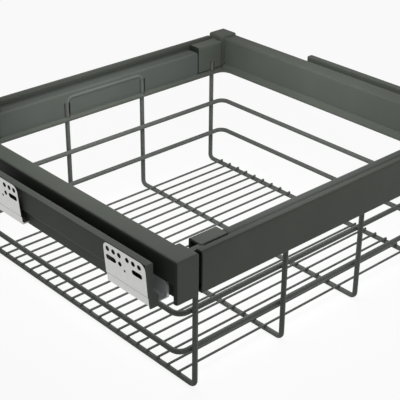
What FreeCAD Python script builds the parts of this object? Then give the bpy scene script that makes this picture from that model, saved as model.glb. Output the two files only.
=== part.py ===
import FreeCAD, Part
import math
import os
import re

import Sketcher
from FreeCAD import Placement, Rotation, Vector

# Pull-out wire basket for a wardrobe: a frame of four rails with a hanging wire basket,
# carried on each side by a ball-bearing slide on a cover profile with two wall brackets.
# The X axis runs across the cabinet, Y from the front to the back and Z up.
# The basket stands on Z = 0 and the frame is centred on X = 0 and Y = 0.

SIZES = {
    # Whole part
    "total_width": 564,
    "total_depth": 480,
    "frame_height": 197,
    "travel": 380,
    # Side rails
    "rail_top": 25.5,
    "rail_height": 50,
    "rail_wall": 2,
    "rail_round": 3,
    "rail_drop": 28,
    "hem_depth": 7,
    "hem_lip": 3,
    "hem_height": 9,
    "side_gap": 14.5,
    # Corner caps
    "cap_length": 29,
    "cap_rise": 3.5,
    "cap_overhang": 5.4,
    "cap_wall": 5,
    "cap_round": 2.4,
    "cap_notch_width": 9,
    "cap_notch_height": 21,
    # Front and back rails
    "end_gap": 4.2,
    "bead_depth": 11,
    "bead_drop": 9,
    "bead_round": 3.6,
    "flange_depth": 36,
    "flange_lip": 3.5,
    "leg_setback": 30,
    "leg_hole": 8.5,
    # Liners inside the front and back rails
    "liner_end": 57.5,
    "liner_drop": 6.5,
    "liner_depth": 32,
    "liner_wall": 1.5,
    "liner_round": 5,
    "liner_corner": 8,
    "liner_clearance": 0.2,
    "pocket_width": 10,
    "pocket_height": 25,
    # Corner connectors
    "connector_start": 20,
    "back_connector_start": 11,
    "connector_end": 57,
    "connector_depth": 33.4,
    "connector_groove": 2.5,
    "connector_wall": 2.5,
    "connector_drop": 1.5,
    "connector_pocket": 18,
    "pocket_shift": 1.4,
    "tongue_width": 7,
    "tongue_height": 43,
    # Basket wires
    "wire_size": 6.5,
    "wire_bend": 7,
    "outer_wire_inset": 27,
    "inner_wire_place": 67,
    "hanger_drop": 16.5,
    "hanger_bend": 10,
    "ring_inset": 9.2,
    "ring_bend": 12,
    "upper_ring_drop": 96,
    "lower_ring_drop": 146,
    "floor_wire_size": 3,
    "floor_wire_margin": 26.5,
    "floor_wire_overhang": 1.5,
    # Slides
    "runner_place": 19,
    "runner_drop": 31,
    "runner_height": 20,
    "runner_upper_flange": 6,
    "runner_lower_flange": 12,
    "runner_setback": 19.5,
    "runner_round": 8,
    "runner_wall": 1.2,
    "runner_nose": 30,
    "runner_nose_rim": 2.6,
    "carrier_wall": 1.5,
    "carrier_height": 13,
    "carrier_setback": 12,
    "carrier_length": 428,
    "member_setback": 46,
    "member_length": 268,
    "member_wall": 1,
    "middle_depth": 8.1,
    "backplate_height": 19,
    "ball_size": 2,
    "ball_clearance": 0.2,
    "ball_pitch": 12,
    "cage_wall": 0.5,
    "cage_clearance": 0.35,
    "cage_length": 76,
    "inner_cage_gap": 0.55,
    "cage_margin": 1,
    "outer_ball_reach": 3.3,
    "inner_ball_reach": 4.6,
    # Cover profiles and wall brackets
    "cover_flange": 9,
    "cover_height": 54,
    "cover_drop": 1,
    "cover_wall": 1.5,
    "cover_round": 1.4,
    "foot_depth": 6.5,
    "foot_height": 13.6,
    "foot_slope": 7.4,
    "cover_length": 294,
    "cover_setback": 21,
    "cover_end_wall": 2,
    "bracket_length": 68,
    "bracket_wall": 1.5,
    "bracket_plate": 39,
    "bracket_round": 8,
    "bracket_lean": 3.3,
    "bracket_step": 1,
    "bracket_foot_inset": 5,
    "bracket_foot_rise": 2.5,
    "screw_hole": 6,
    "screw_row_drop": 7,
    "screw_row_start": 10,
    "screw_pitch": 9.5,
    "screw_group": 32,
    "slot_length": 16.5,
    "slot_width": 6,
    "slot_drop": 17.5,
    "slot_start": 14.5,
    "slot_spacing": 42,
    "fixing_hole": 5.6,
    "fixing_start": 42,
    "pilot_hole": 3,
    "pilot_start": 35,
    "pilot_drop": 23,
}
FLOOR_WIRES = 21
BALLS_PER_ROW = 6
SIDES = (("left", -1), ("right", 1))
ENDS = (("front", -1), ("back", 1))

doc = FreeCAD.newDocument("pull_out_basket")
sheet = doc.addObject("Spreadsheet::Sheet", "dims")
for row, (alias, number) in enumerate(SIZES.items(), start=1):
    sheet.set(f"A{row}", alias)
    sheet.set(f"B{row}", str(number))
    sheet.setAlias(f"B{row}", alias)
doc.recompute()

# Places worked out from the sizes: half widths, and heights above the floor
RAIL_EDGE = "(total_width / 2 - cover_flange - side_gap - rail_top)"
FACE = "(total_depth / 2)"
TOP = "frame_height"
RAIL_BOTTOM = "(frame_height - rail_height)"
FLANGE_TOP = "(frame_height - rail_height + rail_wall)"
HEM_TOP = "(frame_height - rail_height + hem_height)"
LEG_PLACE = "(total_depth / 2 - leg_setback)"
WIRE_BACK = "(leg_setback - wire_size / 2)"
OUTER_WIRE = f"({RAIL_EDGE} - outer_wire_inset)"
RUNNER_TOP = "(frame_height - runner_drop)"
SLIDE_MIDDLE = "(frame_height - runner_drop - runner_height / 2)"
BALL_GAP = "(ball_size + 2 * ball_clearance)"
MEMBER_FRONT = "(member_setback - total_depth / 2)"
COVER_FRONT = "(cover_setback - total_depth / 2)"
COVER_TOP = "(frame_height - cover_drop)"
COVER_BOTTOM = "(frame_height - cover_drop - cover_height)"
COVER_FACE = "(rail_top + side_gap)"
FOOT_FACE = "(rail_top + side_gap - foot_depth)"
FOOT_TOP = f"({COVER_BOTTOM} + foot_height)"
SLOPE_TOP = f"({COVER_BOTTOM} + foot_height + foot_slope)"
WALL_FACE = "(total_width / 2)"

AXIS_PLANES = {"x": "YZ_Plane", "y": "XZ_Plane", "z": "XY_Plane"}


def bound(text):
    """The text of an expression with each size's name led back to the sheet."""
    return re.sub(r"[a-z_]+", r"dims.\g<0>", text)


def size(text):
    """The present value of an expression, in millimetres."""
    return float(sheet.evalExpression(text))


def origin_plane(body, role):
    return next(f for f in body.Origin.OriginFeatures if f.Role == role)


def bind_constraint(sketch, constraint, text):
    index = sketch.addConstraint(constraint)
    name = f"size_{index}"
    sketch.renameConstraint(index, name)
    sketch.setExpression(f"Constraints.{name}", bound(text))


def new_sketch(body, axis, start):
    """A sketch square to an axis, at the place along it that an expression gives."""
    sketch = body.newObject("Sketcher::SketchObject", f"{body.Name}_sketch")
    sketch.AttachmentSupport = (origin_plane(body, AXIS_PLANES[axis]), "")
    sketch.MapMode = "FlatFace"
    sign = "-" if axis == "y" else ""
    sketch.setExpression("AttachmentOffset.Base.z", bound(f"{sign}({start})"))
    return sketch


def edge_kind(way):
    """What an edge's direction makes it: level, upright or sloped."""
    if abs(way.y) < 1e-6:
        return "level"
    return "upright" if abs(way.x) < 1e-6 else "sloped"


def draw_section(sketch, corners):
    """A closed outline of level, upright and sloped edges.

    A corner is (across, up) or, where a level and an upright edge meet, (across, up, radius).
    Each is an expression. A level edge is placed by its height, an upright one by its distance
    across, and a corner that these leave loose by what it still lacks.
    """
    count = len(corners)
    points = [Vector(size(corner[0]), size(corner[1]), 0) for corner in corners]
    radii = [size(corner[2]) if len(corner) > 2 else 0 for corner in corners]
    way = [(points[(i + 1) % count] - points[i]).normalize() for i in range(count)]
    kinds = [edge_kind(direction) for direction in way]
    lines = []
    for i in range(count):
        begin = points[i] + way[i] * radii[i]
        finish = points[(i + 1) % count] - way[i] * radii[(i + 1) % count]
        lines.append(sketch.addGeometry(Part.LineSegment(begin, finish)))
    for i, corner in enumerate(corners):
        before = lines[i - 1]
        after = lines[i]
        if radii[i]:
            join_with_arc(sketch, points[i], way[i - 1], way[i], radii[i], before, after, corner[2])
        else:
            sketch.addConstraint(Sketcher.Constraint("Coincident", before, 2, after, 1))
        beside = (kinds[i - 1], kinds[i])
        if kinds[i] == "level":
            sketch.addConstraint(Sketcher.Constraint("Horizontal", after))
        elif kinds[i] == "upright":
            sketch.addConstraint(Sketcher.Constraint("Vertical", after))
        if kinds[i] == "level" or "level" not in beside:
            bind_constraint(sketch, Sketcher.Constraint("DistanceY", -1, 1, after, 1, points[i].y), corner[1])
        if kinds[i] == "upright" or "upright" not in beside:
            bind_constraint(sketch, Sketcher.Constraint("DistanceX", -1, 1, after, 1, points[i].x), corner[0])


def join_with_arc(sketch, corner, way_in, way_out, radius, before, after, radius_text):
    """A tangent arc from the end of one line to the start of the next."""
    centre = corner - way_in * radius + way_out * radius
    arrive = corner - way_in * radius - centre
    leave = corner + way_out * radius - centre
    left_turn = way_in.x * way_out.y - way_in.y * way_out.x > 0
    first, last = (arrive, leave) if left_turn else (leave, arrive)
    circle = Part.Circle(centre, Vector(0, 0, 1), radius)
    angles = math.atan2(first.y, first.x), math.atan2(last.y, last.x)
    arc = sketch.addGeometry(Part.ArcOfCircle(circle, *angles))
    arrive_end, leave_end = (1, 2) if left_turn else (2, 1)
    sketch.addConstraint(Sketcher.Constraint("Tangent", before, 2, arc, arrive_end))
    sketch.addConstraint(Sketcher.Constraint("Tangent", arc, leave_end, after, 1))
    bind_constraint(sketch, Sketcher.Constraint("Radius", arc, radius), radius_text)


def pad(body, axis, start, length, corners):
    """An outline drawn square to an axis and drawn out along it from start."""
    sketch = new_sketch(body, axis, start)
    draw_section(sketch, corners)
    feature = body.newObject("PartDesign::Pad", f"{body.Name}_pad")
    feature.Profile = sketch
    feature.setExpression("Length", bound(length))
    feature.Reversed = axis == "y"
    return feature


def new_body(label):
    return doc.addObject("PartDesign::Body", label)


def cut_box(body, corner, lengths):
    """A box taken out of a body: its low corner and its three lengths."""
    box = body.newObject("PartDesign::SubtractiveBox", f"{body.Name}_cut")
    for name, text in zip(("Length", "Width", "Height"), lengths):
        box.setExpression(name, bound(text))
    for name, text in zip("xyz", corner):
        box.setExpression(f"Placement.Base.{name}", bound(text))
    return box


def cut_round(body, centre, diameter, length, axis):
    """A round hole through a body, from its start along an axis."""
    hole = body.newObject("PartDesign::SubtractiveCylinder", f"{body.Name}_hole")
    turn = {"x": Rotation(Vector(0, 1, 0), 90), "z": Rotation()}[axis]
    hole.Placement = Placement(Vector(), turn)
    hole.setExpression("Radius", bound(f"{diameter} / 2"))
    hole.setExpression("Height", bound(length))
    for name, text in zip("xyz", centre):
        hole.setExpression(f"Placement.Base.{name}", bound(text))
    return hole


def round_edges(body, radius, wanted):
    """The edges of the last feature that a test picks, rounded."""
    doc.recompute()
    base = body.Tip
    edges = [f"Edge{i}" for i, edge in enumerate(base.Shape.Edges, start=1) if wanted(edge)]
    fillet = body.newObject("PartDesign::Fillet", f"{body.Name}_round")
    fillet.Base = (base, edges)
    fillet.setExpression("Radius", bound(radius))


def outward(side, text):
    """A place across the part, counted outwards from a side rail's inner top edge."""
    return f"{side} * ({RAIL_EDGE} + ({text}))"


def inward_from_face(end, text):
    """A place in depth, counted inwards from the front or back face."""
    return f"{end} * ({FACE} - ({text}))"


def low_end(side, near, length):
    """The low end along an axis of a stretch that starts near the middle plane and runs outwards."""
    return near if side > 0 else f"{near} - ({length})"


# Frame rails


def side_rail(name, side):
    body = new_body(f"side_rail_{name}")
    corners = [
        ("rail_top", TOP, "rail_round"),
        ("rail_top", "frame_height - rail_drop"),
        ("rail_top - rail_wall", "frame_height - rail_drop"),
        ("rail_top - rail_wall", "frame_height - rail_wall", "rail_round - rail_wall"),
        ("rail_wall", "frame_height - rail_wall"),
        ("rail_wall", RAIL_BOTTOM, "rail_wall"),
        ("-hem_depth", RAIL_BOTTOM, "rail_wall / 2"),
        ("-hem_depth", f"{RAIL_BOTTOM} + hem_lip"),
        ("0", HEM_TOP),
        ("0", TOP, "rail_round"),
    ]
    section = [(outward(side, corner[0]), *corner[1:]) for corner in corners]
    pad(body, "y", "cap_length - total_depth / 2", "total_depth - 2 * cap_length", section)


def cross_rail(name, end):
    body = new_body(f"{name}_rail")
    corners = [
        ("0", RAIL_BOTTOM, "rail_wall"),
        ("flange_depth", RAIL_BOTTOM, "rail_wall / 2"),
        ("flange_depth", f"{RAIL_BOTTOM} + flange_lip"),
        (WIRE_BACK, HEM_TOP),
        (WIRE_BACK, FLANGE_TOP),
        ("rail_wall", FLANGE_TOP),
        ("rail_wall", "frame_height - rail_wall", "bead_round - rail_wall"),
        ("bead_depth - rail_wall", "frame_height - rail_wall", "bead_round - rail_wall"),
        ("bead_depth - rail_wall", "frame_height - bead_drop"),
        ("bead_depth", "frame_height - bead_drop"),
        ("bead_depth", TOP, "bead_round"),
        ("0", TOP, "bead_round"),
    ]
    section = [(inward_from_face(end, corner[0]), *corner[1:]) for corner in corners]
    half = f"({RAIL_EDGE} - cap_overhang - end_gap)"
    pad(body, "x", f"-{half}", f"2 * {half}", section)
    for place in (f"-{OUTER_WIRE}", "-inner_wire_place", "inner_wire_place", OUTER_WIRE):
        centre = (place, f"{end} * {LEG_PLACE}", f"{RAIL_BOTTOM} - rail_wall")
        cut_round(body, centre, "leg_hole", "hem_height + 2 * rail_wall", "z")


def rail_liner(name, end):
    """A channel turned over, stepped out over the rail's hem, with rounded upper corners.

    The hanger loop's bow lies in a groove of its face, and each leg in a pocket.
    """
    channel = new_body(f"{name}_liner_channel")
    foot = f"({WIRE_BACK} - liner_clearance)"
    over_hem = f"({HEM_TOP} + liner_clearance)"
    top = "(frame_height - liner_drop)"
    corners = [
        ("bead_depth", FLANGE_TOP),
        ("bead_depth + liner_wall", FLANGE_TOP),
        ("bead_depth + liner_wall", f"{top} - liner_wall", "liner_round - liner_wall"),
        ("liner_depth - liner_wall", f"{top} - liner_wall", "liner_round - liner_wall"),
        ("liner_depth - liner_wall", f"{over_hem} + liner_wall"),
        (f"{foot} - liner_wall", f"{over_hem} + liner_wall"),
        (f"{foot} - liner_wall", FLANGE_TOP),
        (foot, FLANGE_TOP),
        (foot, over_hem),
        ("liner_depth", over_hem),
        ("liner_depth", top, "liner_round"),
        ("bead_depth", top, "liner_round"),
    ]
    section = [(inward_from_face(end, corner[0]), *corner[1:]) for corner in corners]
    half = f"({RAIL_EDGE} - liner_end)"
    pad(channel, "x", f"-{half}", f"2 * {half}", section)
    pocket_depth = f"(liner_depth + liner_wall - {foot})"
    pocket_start = low_end(-end, inward_from_face(end, foot), pocket_depth)
    for place in ("-inner_wire_place", "inner_wire_place"):
        corner = (f"{place} - pocket_width / 2", pocket_start, FLANGE_TOP)
        cut_box(channel, corner, ("pocket_width", pocket_depth, "pocket_height"))
    plate = new_body(f"{name}_liner_plate")
    outline = [
        (f"-{half}", FLANGE_TOP),
        (half, FLANGE_TOP),
        (half, top, "liner_corner"),
        (f"-{half}", top, "liner_corner"),
    ]
    pad(plate, "y", low_end(end, inward_from_face(end, "liner_depth"), "liner_depth"), "liner_depth", outline)
    shell = doc.addObject("Part::Common", f"{name}_liner_shell")
    shell.Base = channel
    shell.Tool = plate
    bow = bow_points(end, size(f"{FLANGE_TOP} + pocket_height / 2"))
    bends = [size("hanger_bend")] * len(bow)
    groove = wire_feature(f"{name}_liner_groove", bow, bends, size("wire_size + liner_clearance"))
    liner = doc.addObject("Part::Cut", f"{name}_rail_liner")
    liner.Base = shell
    liner.Tool = groove


def bow_points(end, low):
    """The corners of the hanger loop's bow at one rail, down to a height on each leg."""
    across = size("inner_wire_place")
    depth = end * size(LEG_PLACE)
    high = size("frame_height - hanger_drop")
    return [
        Vector(-across, depth, low),
        Vector(-across, depth, high),
        Vector(across, depth, high),
        Vector(across, depth, low),
    ]


def corner_connector(side_name, side, end_name, end):
    """A hollow block in the end of a front or back rail, with a tongue to the corner cap."""
    body = new_body(f"corner_connector_{end_name}_{side_name}")
    begin = "back_connector_start" if end > 0 else "connector_start"
    length = f"(connector_end - {begin})"
    foot = f"({WIRE_BACK} - liner_clearance)"
    over_hem = f"({HEM_TOP} + liner_clearance)"
    raised = "(bead_depth + connector_groove)"
    block = [
        ("rail_wall", FLANGE_TOP),
        (foot, FLANGE_TOP),
        (foot, over_hem),
        ("connector_depth", over_hem),
        ("connector_depth", "frame_height - connector_drop", "cap_round"),
        (raised, "frame_height - connector_drop", "cap_round / 2"),
        (raised, "frame_height - bead_drop - connector_drop"),
        ("rail_wall", "frame_height - bead_drop - connector_drop"),
    ]
    hollow = [
        ("rail_wall + connector_wall", f"{FLANGE_TOP} + connector_wall"),
        (f"{foot} - connector_wall", f"{FLANGE_TOP} + connector_wall"),
        (f"{foot} - connector_wall", f"{over_hem} + connector_wall"),
        ("connector_depth - connector_wall", f"{over_hem} + connector_wall"),
        ("connector_depth - connector_wall", "frame_height - connector_drop - connector_wall"),
        (f"{raised} + connector_wall", "frame_height - connector_drop - connector_wall"),
        (f"{raised} + connector_wall", "frame_height - bead_drop - connector_drop - connector_wall"),
        ("rail_wall + connector_wall", "frame_height - bead_drop - connector_drop - connector_wall"),
    ]
    start = low_end(side, outward(side, "-connector_end"), length)
    section = [(inward_from_face(end, corner[0]), *corner[1:]) for corner in block]
    pad(body, "x", start, length, section)
    inside = [(inward_from_face(end, corner[0]), *corner[1:]) for corner in hollow]
    near = outward(side, "connector_wall - connector_end")
    sketch = new_sketch(body, "x", near)
    draw_section(sketch, inside)
    pocket = body.newObject("PartDesign::Pocket", f"{body.Name}_hollow")
    pocket.Profile = sketch
    pocket.setExpression("Length", bound("connector_end"))
    pocket.Reversed = side > 0
    pocket_depth = f"(connector_depth + connector_wall - {foot})"
    corner = (
        f"{side} * ({OUTER_WIRE} - pocket_shift) - pocket_width / 2",
        low_end(-end, inward_from_face(end, foot), pocket_depth),
        FLANGE_TOP,
    )
    cut_box(body, corner, ("pocket_width", pocket_depth, "connector_pocket"))
    tongue = [
        ("bead_depth", f"{FLANGE_TOP} + connector_wall"),
        ("bead_depth + tongue_width", f"{FLANGE_TOP} + connector_wall"),
        ("bead_depth + tongue_width", f"{FLANGE_TOP} + connector_wall + tongue_height"),
        ("bead_depth", f"{FLANGE_TOP} + connector_wall + tongue_height"),
    ]
    section = [(inward_from_face(end, corner[0]), *corner[1:]) for corner in tongue]
    tongue_length = f"({begin} + connector_wall - cap_overhang)"
    near = outward(side, f"-{begin} - connector_wall")
    pad(body, "x", low_end(side, near, tongue_length), tongue_length, section)


def end_cap(side_name, side, end_name, end):
    """A hood-shaped cap on the end of a side rail, open below like the rail; the back ones stand up."""
    body = new_body(f"end_cap_{end_name}_{side_name}")
    top = f"({TOP} + cap_rise)" if end > 0 else TOP
    outline = [
        ("-cap_overhang", RAIL_BOTTOM),
        ("rail_top", RAIL_BOTTOM),
        ("rail_top", top, "rail_round"),
        ("-cap_overhang", top, "rail_round"),
    ]
    hollow = [
        ("rail_wall", f"{RAIL_BOTTOM} - rail_wall"),
        ("rail_top + rail_wall", f"{RAIL_BOTTOM} - rail_wall"),
        ("rail_top + rail_wall", "frame_height - rail_drop"),
        ("rail_top - rail_wall", "frame_height - rail_drop"),
        ("rail_top - rail_wall", "frame_height - rail_wall"),
        ("rail_wall", "frame_height - rail_wall"),
    ]
    section = [(outward(side, corner[0]), *corner[1:]) for corner in outline]
    near = inward_from_face(end, "cap_length")
    pad(body, "y", low_end(end, near, "cap_length"), "cap_length", section)
    rounded_ends = [size(f"{end} * {FACE}")]
    if end > 0:
        rounded_ends.append(size(near))
    bottom = size(RAIL_BOTTOM)

    def on_rounded_end(edge):
        middle = edge.CenterOfMass
        return middle.z - bottom > 0.01 and any(abs(middle.y - place) < 0.01 for place in rounded_ends)

    round_edges(body, "cap_round", on_rounded_end)
    sketch = new_sketch(body, "y", inward_from_face(end, "cap_wall"))
    draw_section(sketch, [(outward(side, corner[0]), *corner[1:]) for corner in hollow])
    pocket = body.newObject("PartDesign::Pocket", f"{body.Name}_hollow")
    pocket.Profile = sketch
    pocket.setExpression("Length", bound("cap_length"))
    pocket.Reversed = end > 0
    overhang_width = "cap_overhang - rail_wall"
    overhang_length = "(cap_length - cap_wall - rail_wall)"
    corner = (
        low_end(side, outward(side, "rail_wall - cap_overhang"), overhang_width),
        low_end(end, inward_from_face(end, "cap_length - rail_wall"), overhang_length),
        f"{RAIL_BOTTOM} - rail_wall",
    )
    cut_box(body, corner, (overhang_width, overhang_length, "rail_height - rail_wall"))
    if end > 0:
        notch_start = low_end(side, outward(side, "rail_top - cap_notch_width"), "2 * cap_notch_width")
        corner = (notch_start, f"{FACE} - cap_length", f"{RAIL_BOTTOM} - rail_wall")
        cut_box(body, corner, ("2 * cap_notch_width", "2 * cap_length", "cap_notch_height + rail_wall"))


# Bent and straight wires


def bent_path(points, bends, closed=False):
    """Straight runs through the points, joined by tangent arcs of each point's bend radius."""
    count = len(points)
    ends = []
    for i, (point, bend) in enumerate(zip(points, bends)):
        if not closed and i in (0, count - 1):
            ends.append((point, None, point))
            continue
        back = (points[i - 1] - point).normalize()
        ahead = (points[(i + 1) % count] - point).normalize()
        half = back.getAngle(ahead) / 2
        reach = bend / math.tan(half)
        middle = point + (back + ahead).normalize() * (bend / math.sin(half) - bend)
        ends.append((point + back * reach, middle, point + ahead * reach))
    edges = []
    for i, (arrive, middle, leave) in enumerate(ends):
        if middle is not None:
            edges.append(Part.Arc(arrive, middle, leave).toShape())
        if closed or i < count - 1:
            edges.append(Part.LineSegment(leave, ends[(i + 1) % count][0]).toShape())
    return edges


def wire_solid(edges, diameter):
    """A round wire along a path of lines and arcs, one length to each and then made one."""
    lengths = []
    for edge in edges:
        start = edge.valueAt(edge.FirstParameter)
        way = edge.tangentAt(edge.FirstParameter)
        disc = Part.Face(Part.Wire(Part.Circle(start, way, diameter / 2).toShape()))
        if isinstance(edge.Curve, Part.Line):
            lengths.append(disc.extrude(way * edge.Length))
        else:
            circle = edge.Curve
            angle = math.degrees(edge.Length / circle.Radius)
            lengths.append(disc.revolve(circle.Center, circle.Axis, angle))
    return lengths[0].multiFuse(lengths[1:]).removeSplitter()


def wire_feature(label, points, bends, diameter, closed=False):
    feature = doc.addObject("Part::Feature", label)
    feature.Shape = wire_solid(bent_path(points, bends, closed), diameter)
    return feature


def outer_wire(name, side):
    """A U of thick wire whose two ends stand in the corner connectors."""
    across = side * size(OUTER_WIRE)
    depth = size(LEG_PLACE)
    low = size("wire_size / 2")
    high = size(f"{FLANGE_TOP} + connector_pocket")
    points = [
        Vector(across, -depth, high),
        Vector(across, -depth, low),
        Vector(across, depth, low),
        Vector(across, depth, high),
    ]
    wire_feature(f"outer_wire_{name}", points, [size("wire_bend")] * len(points), size("wire_size"))


def hanger_loop():
    """One closed wire: two U shapes joined by a bow in front of each rail liner."""
    low = size("wire_size / 2")
    points = bow_points(1, low) + bow_points(-1, low)[::-1]
    bends = [size("wire_bend") if point.z == low else size("hanger_bend") for point in points]
    wire_feature("hanger_loop", points, bends, size("wire_size"), closed=True)


def ring(name, drop):
    across = size(f"{RAIL_EDGE} - ring_inset")
    depth = size(f"{LEG_PLACE} - wire_size")
    height = size(f"frame_height - {drop}")
    points = [
        Vector(-across, -depth, height),
        Vector(across, -depth, height),
        Vector(across, depth, height),
        Vector(-across, depth, height),
    ]
    wire_feature(name, points, [size("ring_bend")] * len(points), size("wire_size"), closed=True)


def floor_wire(index):
    """A thin wire across the basket, lying on the thick ones."""
    wire = doc.addObject("Part::Cylinder", f"floor_wire_{index + 1:02d}")
    half = f"({OUTER_WIRE} + floor_wire_overhang)"
    reach = f"({LEG_PLACE} - floor_wire_margin)"
    wire.Placement = Placement(Vector(), Rotation(Vector(0, 1, 0), 90))
    wire.setExpression("Radius", bound("floor_wire_size / 2"))
    wire.setExpression("Height", bound(f"2 * {half}"))
    wire.setExpression("Placement.Base.x", bound(f"-{half}"))
    wire.setExpression("Placement.Base.y", bound(f"(2 * {index} / ({FLOOR_WIRES} - 1) - 1) * {reach}"))
    wire.setExpression("Placement.Base.z", bound("wire_size + floor_wire_size / 2"))


# Slides: the runner moves with the basket, the middle member half as far


def runner(name, side):
    """A rimmed strip, round at its front corner, trimmed at the nose, with a wide lower flange."""
    body = new_body(f"runner_{name}")
    front = "(runner_setback - total_depth / 2)"
    back = "(total_depth / 2 - cap_length)"
    low = f"({RUNNER_TOP} - runner_height)"
    outline = [
        (front, low),
        (back, low),
        (back, RUNNER_TOP),
        (front, RUNNER_TOP, "runner_round"),
    ]
    inside = [
        (f"{front} + runner_wall", f"{low} + runner_wall"),
        (f"{back} + runner_wall", f"{low} + runner_wall"),
        (f"{back} + runner_wall", f"{RUNNER_TOP} - runner_wall"),
        (f"{front} + runner_wall", f"{RUNNER_TOP} - runner_wall", "runner_round - runner_wall"),
    ]
    near = outward(side, "runner_place")
    pad(body, "x", low_end(side, near, "runner_upper_flange"), "runner_upper_flange", outline)
    sketch = new_sketch(body, "x", outward(side, "runner_place + runner_wall"))
    draw_section(sketch, inside)
    pocket = body.newObject("PartDesign::Pocket", f"{body.Name}_hollow")
    pocket.Profile = sketch
    pocket.setExpression("Length", bound("runner_upper_flange"))
    pocket.Reversed = side > 0
    trimmed = "(runner_upper_flange - runner_nose_rim)"
    corner = (
        low_end(side, outward(side, "runner_place + runner_nose_rim"), trimmed),
        f"{front} - runner_wall",
        f"{low} + runner_wall",
    )
    cut_box(body, corner, (trimmed, "runner_nose + runner_wall", "runner_height"))
    flange = [
        ("runner_place + runner_upper_flange", low),
        ("runner_place + runner_lower_flange", low),
        ("runner_place + runner_lower_flange", f"{low} + runner_wall"),
        ("runner_place + runner_upper_flange", f"{low} + runner_wall"),
    ]
    section = [(outward(side, corner[0]), corner[1]) for corner in flange]
    pad(body, "y", front, f"{back} - {front}", section)


def runner_carrier(name, side):
    """A channel, closed in front, that holds the runner off the side rail's web."""
    body = new_body(f"runner_carrier_{name}")
    high = f"({SLIDE_MIDDLE} + carrier_height / 2)"
    low = f"({SLIDE_MIDDLE} - carrier_height / 2)"
    corners = [
        ("rail_wall", low),
        ("rail_wall + carrier_wall", low),
        ("rail_wall + carrier_wall", f"{high} - carrier_wall"),
        ("runner_place - carrier_wall", f"{high} - carrier_wall"),
        ("runner_place - carrier_wall", low),
        ("runner_place", low),
        ("runner_place", high),
        ("rail_wall", high),
    ]
    section = [(outward(side, corner[0]), corner[1]) for corner in corners]
    front = "carrier_setback - total_depth / 2"
    pad(body, "y", front, "carrier_length", section)
    closed = [("rail_wall", low), ("runner_place", low), ("runner_place", high), ("rail_wall", high)]
    pad(body, "y", front, "carrier_wall", [(outward(side, corner[0]), corner[1]) for corner in closed])


# Half heights of the nested slide members, from the slide's middle outwards
RUNNER_INSIDE = "(runner_height / 2 - runner_wall)"
MIDDLE_OUTSIDE = f"({RUNNER_INSIDE} - {BALL_GAP})"
MIDDLE_INSIDE = f"({MIDDLE_OUTSIDE} - member_wall)"
TONGUE_OUTSIDE = f"({MIDDLE_INSIDE} - {BALL_GAP})"
MIDDLE_WEB = "(runner_place + runner_wall + cage_wall + 2 * cage_clearance)"
TONGUE_TIP = f"({MIDDLE_WEB} + member_wall + cage_wall + 2 * inner_cage_gap)"


def channel_section(side, web, wall, reach, half_height):
    """A channel open outwards: web and two flanges about the slide's middle."""
    corners = [
        (web, f"{SLIDE_MIDDLE} - {half_height}"),
        (reach, f"{SLIDE_MIDDLE} - {half_height}"),
        (reach, f"{SLIDE_MIDDLE} - {half_height} + {wall}"),
        (f"{web} + {wall}", f"{SLIDE_MIDDLE} - {half_height} + {wall}"),
        (f"{web} + {wall}", f"{SLIDE_MIDDLE} + {half_height} - {wall}"),
        (reach, f"{SLIDE_MIDDLE} + {half_height} - {wall}"),
        (reach, f"{SLIDE_MIDDLE} + {half_height}"),
        (web, f"{SLIDE_MIDDLE} + {half_height}"),
    ]
    return [(outward(side, corner[0]), corner[1]) for corner in corners]


def middle_member(name, side):
    body = new_body(f"slide_middle_{name}")
    section = channel_section(side, MIDDLE_WEB, "member_wall", f"{MIDDLE_WEB} + middle_depth", MIDDLE_OUTSIDE)
    pad(body, "y", MEMBER_FRONT, "member_length", section)


def fixed_member(name, side):
    """The cabinet side of the slide: a tongue on a back plate that sits on the cover's foot."""
    body = new_body(f"slide_fixed_{name}")
    plate = f"({FOOT_FACE} - member_wall)"
    plate_low = f"({COVER_BOTTOM} + cover_wall)"
    corners = [
        (TONGUE_TIP, f"{SLIDE_MIDDLE} - {TONGUE_OUTSIDE}"),
        (plate, f"{SLIDE_MIDDLE} - {TONGUE_OUTSIDE}"),
        (plate, plate_low),
        (FOOT_FACE, plate_low),
        (FOOT_FACE, f"{plate_low} + backplate_height"),
        (plate, f"{plate_low} + backplate_height"),
        (plate, f"{SLIDE_MIDDLE} + {TONGUE_OUTSIDE}"),
        (TONGUE_TIP, f"{SLIDE_MIDDLE} + {TONGUE_OUTSIDE}"),
    ]
    section = [(outward(side, corner[0]), corner[1]) for corner in corners]
    pad(body, "y", MEMBER_FRONT, "member_length", section)


def ball_cage(label, side, web, row, reach):
    """A thin channel with two rows of balls, in the gap between two slide members."""
    strip = new_body(f"{label}_strip")
    edge = f"{web} + {reach} + ball_size"
    section = channel_section(side, web, "cage_wall", edge, f"({row} + cage_wall / 2)")
    start = f"({MEMBER_FRONT} + travel / 4 + cage_margin)"
    pad(strip, "y", start, "cage_length", section)
    pieces = [strip]
    for up in (-1, 1):
        for index in range(BALLS_PER_ROW):
            ball = doc.addObject("Part::Sphere", f"{label}_ball")
            ball.setExpression("Radius", bound("ball_size / 2"))
            offset = f"cage_length / 2 + ({index} - ({BALLS_PER_ROW} - 1) / 2) * ball_pitch"
            ball.setExpression("Placement.Base.x", bound(outward(side, f"{web} + {reach}")))
            ball.setExpression("Placement.Base.y", bound(f"{start} + {offset}"))
            ball.setExpression("Placement.Base.z", bound(f"{SLIDE_MIDDLE} + {up} * {row}"))
            pieces.append(ball)
    cage = doc.addObject("Part::MultiFuse", label)
    cage.Shapes = pieces


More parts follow.
